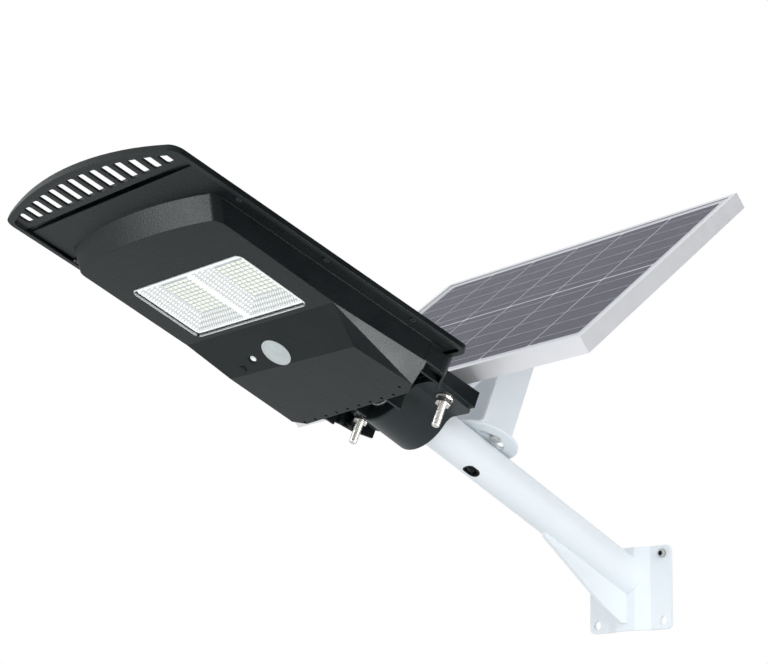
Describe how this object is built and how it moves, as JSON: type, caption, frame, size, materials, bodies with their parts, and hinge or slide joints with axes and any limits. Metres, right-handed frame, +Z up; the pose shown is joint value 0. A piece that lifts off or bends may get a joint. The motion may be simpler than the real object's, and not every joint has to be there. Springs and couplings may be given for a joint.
{
  "type": "solar street lamp",
  "caption": "Wall-mounted solar street lamp: flat lamp head clamped on a rising tube arm, with a solar panel on a swivelling and tilting yoke.",
  "frame": {"origin": "centre of the four wall bolt holes, on the wall plane", "axes": "+X out of the wall towards the lamp head, +Y to the side, +Z up"},
  "size_m": [0.9147, 0.5431, 0.5234],
  "materials": {
    "white_steel": "white powder coat",
    "black_cover": "fine moulded grain",
    "black_housing": "fine moulded grain",
    "black_clamp": "fine moulded grain",
    "clear_lens": "clear moulded plastic",
    "white_reflector": "faceted white",
    "led_chip": "pale yellow",
    "white_board": "solder mask",
    "green_board": "solder mask",
    "frosted_white": "frosted",
    "clear_indicator": "milky",
    "black_rubber": "matt",
    "stainless": "bright",
    "zinc_screw": "dull",
    "plated_bolt": "bright zinc",
    "bare_aluminium": "milled",
    "frame_aluminium": "silver anodised",
    "panel_glass": "low-iron, lightly textured",
    "cell_silicon": "dark violet coating",
    "tinned_ribbon": "tinned",
    "white_sheet": "smooth",
    "black_box": "smooth",
    "battery_wrap": "shrink sleeve"
  },
  "bodies": {
    "arm": {"wall_plate": "white_steel", "arm_tube": "white_steel", "gusset_plate": "white_steel", "cable_grommet": "black_rubber", "swivel_disc": "white_steel"},
    "yoke": {"panel_yoke": "white_steel", "yoke_bolts": "plated_bolt", "yoke_nuts": "plated_bolt", "yoke_washers": "plated_bolt"},
    "panel": {"frame_rail_lower": "frame_aluminium", "frame_rail_upper": "frame_aluminium", "frame_rail_left": "frame_aluminium", "frame_rail_right": "frame_aluminium", "frame_corner_keys": "bare_aluminium", "panel_glass": "panel_glass", "solar_cells": "cell_silicon", "cell_ribbons": "tinned_ribbon", "panel_backsheet": "white_sheet", "mount_rail_left": "white_steel", "mount_rail_right": "white_steel", "rail_bolts": "plated_bolt", "rail_nuts": "plated_bolt", "tilt_bolts": "plated_bolt", "tilt_nuts": "plated_bolt", "tilt_washers": "plated_bolt", "junction_box": "black_box", "junction_box_lid": "black_box", "junction_box_gland": "black_box"},
    "lamp": {"top_cover": "black_cover", "bottom_housing": "black_housing", "housing_seal": "black_rubber", "housing_screws": "zinc_screw", "lens_cover": "clear_lens", "reflector_left": "white_reflector", "reflector_right": "white_reflector", "led_board_left": "white_board", "led_board_right": "white_board", "led_chips_left": "led_chip", "led_chips_right": "led_chip", "heat_plate": "bare_aluminium", "charge_controller": "green_board", "pir_lens": "frosted_white", "pir_sensor": "green_board", "indicator_light": "clear_indicator", "switch_board": "green_board", "battery_cells": "battery_wrap", "battery_holder": "black_box", "clamp_saddle": "black_clamp", "clamp_bolts": "stainless", "clamp_washers": "stainless", "clamp_nuts": "stainless"},
    "button": {"mode_button": "black_rubber"}
  },
  "joints": [
    {"name": "panel_swivel", "type": "hinge", "parent": "arm", "child": "yoke", "pos_m": [0.28393, 0, 0.16111], "axis": [-0.3749, 0, 0.9271], "range_deg": [-35, 35]},
    {"name": "panel_tilt", "type": "hinge", "parent": "yoke", "child": "panel", "pos_m": [0.24708, -0.00033, 0.27889], "axis": [-0.0307, -0.9995, -0.0124], "range_deg": [0, 40]},
    {"name": "lamp_roll", "type": "hinge", "parent": "arm", "child": "lamp", "pos_m": [0.41717, 0, 0.18372], "axis": [0.9271, 0, 0.3749], "range_deg": [-6, 6]},
    {"name": "button_press", "type": "slide", "parent": "lamp", "child": "button", "axis": [-0.5751, 0, 0.8181], "range_m": [0, 0.0015], "stiffness_N_per_m": 400}
  ]
}
